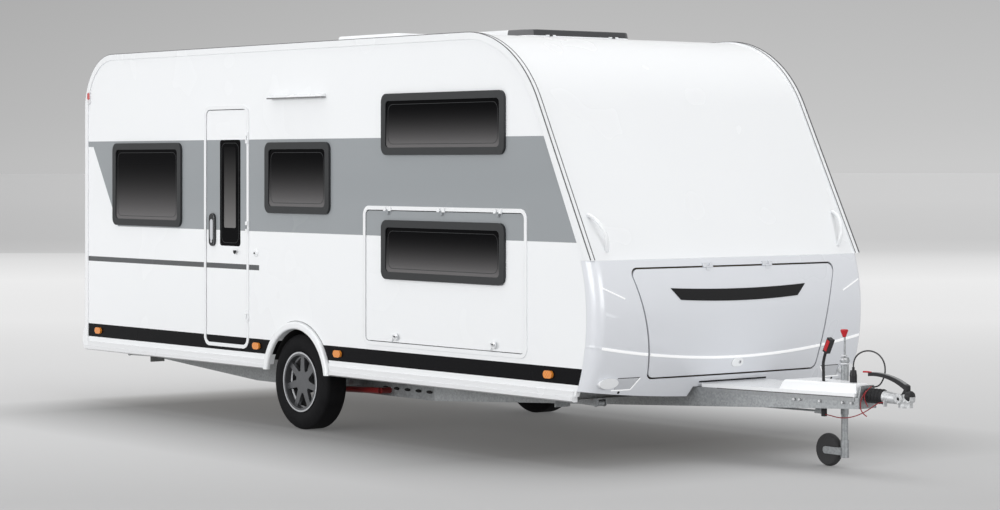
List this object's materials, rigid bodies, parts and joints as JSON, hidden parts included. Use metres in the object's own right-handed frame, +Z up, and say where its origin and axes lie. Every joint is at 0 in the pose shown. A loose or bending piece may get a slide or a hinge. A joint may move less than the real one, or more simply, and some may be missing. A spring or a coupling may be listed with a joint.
{
  "type": "travel caravan",
  "caption": "Single-axle travel caravan with a sloped front, side bunk hatch, entrance door, A-frame drawbar, ball coupling and jockey wheel.",
  "frame": {"origin": "on the ground under the middle of the outline box", "axes": "+X forward to the tow coupling, +Y to the left side, +Z up; the entrance door is on the right side, at -Y"},
  "size_m": [7.66, 2.334, 2.7583],
  "materials": {
    "body_white": "gloss white paint",
    "grp_white": "gloss",
    "nose_silver": "satin metallic paint",
    "front_white": "gloss white paint",
    "trim_white": "gloss",
    "sill_grey": "satin",
    "window_trim": "satin",
    "tinted_window": "clear gloss",
    "floor_board": "matt",
    "galvanised": "dull zinc",
    "black_plastic": "matt",
    "black_rubber": "matt",
    "red_cable": "satin",
    "damper_red": "satin",
    "amber_lamp": "gloss",
    "lamp_red": "gloss",
    "lamp_clear": "gloss",
    "tyre_black": "matt",
    "rim_alloy": "satin"
  },
  "bodies": {
    "caravan_body": {"awning_lamp": "trim_white", "axle_tube": "galvanised", "bellows": "black_plastic", "brake_rod": "galvanised", "breakaway_cable": "red_cable", "chassis_frame": "galvanised", "corner_rails": "trim_white", "coupling_head": "galvanised", "coupling_lever": "black_plastic", "drawbar": "galvanised", "drawbar_cover": "trim_white", "floor": "floor_board", "fridge_grilles": "body_white", "front_lamps": "lamp_clear", "front_panel": "front_white", "grab_handles": "trim_white", "handbrake_lever": "black_plastic", "jockey_tube": "galvanised", "locker_bulkhead": "floor_board", "nose_shell": "nose_silver", "opening_frames": "trim_white", "overrun_housing": "galvanised", "rear_bumper": "trim_white", "rear_lamps": "lamp_red", "rear_panel": "grp_white", "roof": "grp_white", "shock_absorbers": "damper_red", "side_markers": "amber_lamp", "side_sills": "sill_grey", "supply_cable": "black_rubber", "supply_plug": "black_plastic", "trailing_arms": "galvanised", "wall_left": "body_white", "wall_right": "body_white", "wheel_arches": "body_white", "window_frames": "window_trim", "window_panes": "tinted_window"},
    "wheel_right": {"tyre_right": "tyre_black", "rim_right": "rim_alloy"},
    "wheel_left": {"tyre_left": "tyre_black", "rim_left": "rim_alloy"},
    "entrance_door": {"door_leaf": "body_white", "door_window": "tinted_window", "door_handle": "window_trim"},
    "bunk_hatch": {"bunk_hatch_leaf": "body_white", "bunk_hatch_window_frame": "window_trim", "bunk_hatch_pane": "tinted_window"},
    "front_lid": {"locker_lid": "nose_silver", "lid_strip": "window_trim"},
    "skylight": {"skylight_lid": "tinted_window"},
    "ventilator": {"vent_lid": "body_white"},
    "side_service_hatch": {"service_hatch": "body_white"},
    "jockey_slider": {"jockey_leg": "galvanised"},
    "jockey_swivel": {"jockey_fork": "galvanised"},
    "jockey_roller": {"jockey_wheel": "black_rubber"},
    "steady_fr": {"steady_front_right": "galvanised"},
    "steady_fl": {"steady_front_left": "galvanised"},
    "steady_rr": {"steady_rear_right": "galvanised"},
    "steady_rl": {"steady_rear_left": "galvanised"}
  },
  "joints": [
    {"name": "wheel_right_spin", "type": "hinge", "parent": "caravan_body", "child": "wheel_right", "pos_m": [-0.85016, -1.02, 0.328], "axis": [0, 1, 0], "continuous": true},
    {"name": "wheel_left_spin", "type": "hinge", "parent": "caravan_body", "child": "wheel_left", "pos_m": [-0.85016, 1.02, 0.328], "axis": [0, 1, 0], "continuous": true},
    {"name": "entrance_door_swing", "type": "hinge", "parent": "caravan_body", "child": "entrance_door", "pos_m": [-1.4852, -1.142, 1.38], "axis": [0, 0, 1], "range_deg": [0, 160]},
    {"name": "bunk_hatch_lift", "type": "hinge", "parent": "caravan_body", "child": "bunk_hatch", "pos_m": [0.8117, -1.142, 1.5235], "axis": [-1, 0, 0], "range_deg": [0, 90]},
    {"name": "front_lid_lift", "type": "hinge", "parent": "caravan_body", "child": "front_lid", "pos_m": [2.358, 0, 1.199], "axis": [0, -1, 0], "range_deg": [0, 75]},
    {"name": "skylight_lift", "type": "hinge", "parent": "caravan_body", "child": "skylight", "pos_m": [0.8551, 0, 2.672], "axis": [0, 1, 0], "range_deg": [0, 50]},
    {"name": "ventilator_lift", "type": "hinge", "parent": "caravan_body", "child": "ventilator", "pos_m": [-0.899, 0, 2.672], "axis": [0, 1, 0], "range_deg": [0, 60]},
    {"name": "side_service_hatch_lift", "type": "hinge", "parent": "caravan_body", "child": "side_service_hatch", "pos_m": [-0.1376, 1.136, 0.8935], "axis": [1, 0, 0], "range_deg": [0, 110]},
    {"name": "jockey_leg_slide", "type": "slide", "parent": "caravan_body", "child": "jockey_slider", "axis": [0, 0, 1], "range_m": [0, 0.12]},
    {"name": "jockey_fork_swivel", "type": "hinge", "parent": "jockey_slider", "child": "jockey_swivel", "pos_m": [3.113, 0.1727, 0.1], "axis": [0, 0, 1], "continuous": true},
    {"name": "jockey_wheel_spin", "type": "hinge", "parent": "jockey_swivel", "child": "jockey_roller", "pos_m": [2.983, 0.1727, 0.1], "axis": [0, 1, 0], "continuous": true},
    {"name": "steady_front_right_fold", "type": "hinge", "parent": "caravan_body", "child": "steady_fr", "pos_m": [2.054, -0.86, 0.372], "axis": [0, -1, 0], "range_deg": [0, 80]},
    {"name": "steady_front_left_fold", "type": "hinge", "parent": "caravan_body", "child": "steady_fl", "pos_m": [2.054, 0.86, 0.372], "axis": [0, -1, 0], "range_deg": [0, 80]},
    {"name": "steady_rear_right_fold", "type": "hinge", "parent": "caravan_body", "child": "steady_rr", "pos_m": [-3.525, -0.86, 0.372], "axis": [0, 1, 0], "range_deg": [0, 80]},
    {"name": "steady_rear_left_fold", "type": "hinge", "parent": "caravan_body", "child": "steady_rl", "pos_m": [-3.525, 0.86, 0.372], "axis": [0, 1, 0], "range_deg": [0, 80]}
  ]
}
